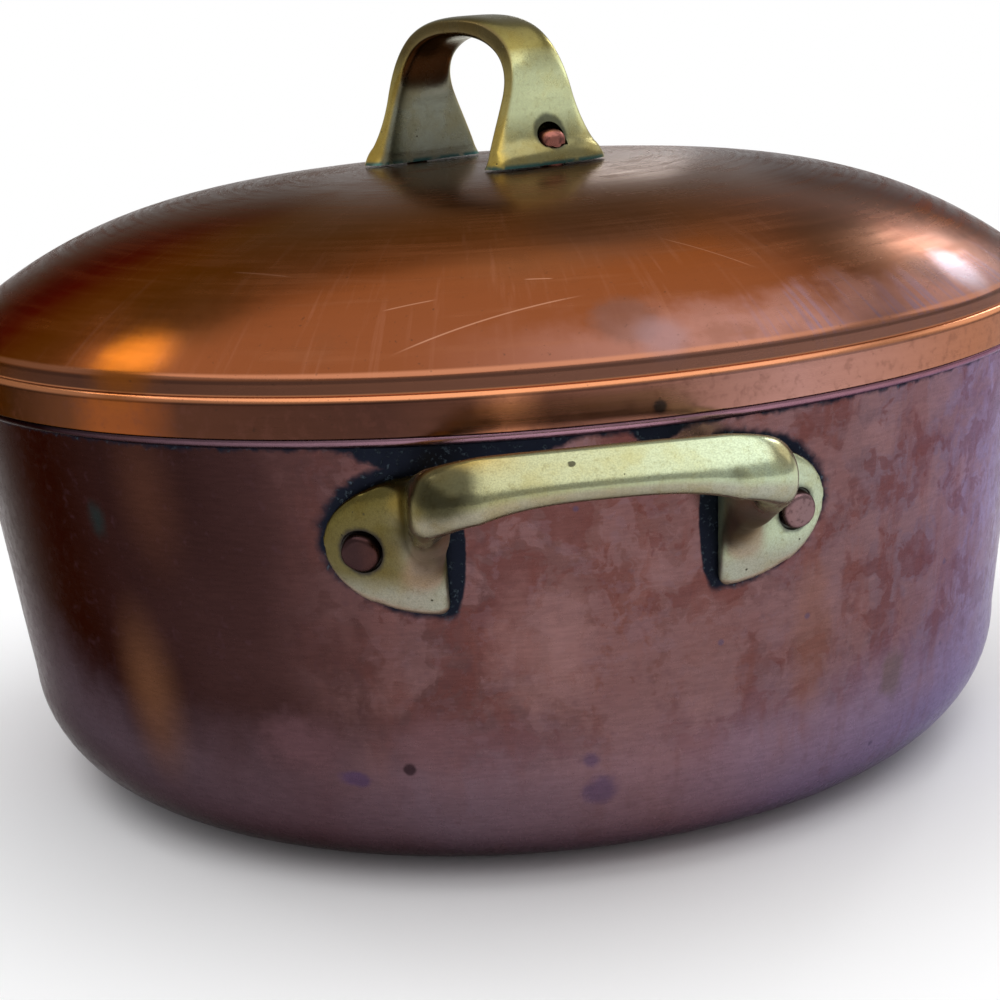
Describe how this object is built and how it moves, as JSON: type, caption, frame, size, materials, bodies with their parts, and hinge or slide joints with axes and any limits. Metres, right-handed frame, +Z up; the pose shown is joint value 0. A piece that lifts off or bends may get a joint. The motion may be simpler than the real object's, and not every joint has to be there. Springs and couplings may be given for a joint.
{
  "type": "casserole",
  "caption": "Round lidded copper casserole with a domed lid, two riveted cast brass side handles and a brass strap handle on the lid.",
  "frame": {"origin": "middle of the base's underside, on the surface that the pot stands on", "axes": "+Z up along the pot's axis; +Y towards the back side handle, -Y towards the front one"},
  "size_m": [0.2526, 0.308, 0.1669],
  "materials": {
    "copper_pot": "tarnished copper, maroon to mauve, blue-black under the bead; tin lining inside",
    "copper_lid": "brushed copper, brown to orange, worn; tin lining inside",
    "copper_rivet": "hammered copper rivet head, tarnished round its edge",
    "brass_cast": "cast brass, hand-polished, with fine pits and dull undersides"
  },
  "bodies": {
    "pot": {"pot_body": "copper_pot", "handle_front": "brass_cast", "handle_front_rivet_left": "copper_rivet", "handle_front_rivet_right": "copper_rivet", "handle_back": "brass_cast", "handle_back_rivet_left": "copper_rivet", "handle_back_rivet_right": "copper_rivet"},
    "lid": {"lid_shell": "copper_lid", "lid_handle": "brass_cast", "lid_rivet_front": "copper_rivet", "lid_rivet_back": "copper_rivet"}
  },
  "joints": [
    {"name": "lid_lift", "type": "slide", "parent": "pot", "child": "lid", "axis": [0, 0, 1], "range_m": [0, 0.12]}
  ]
}
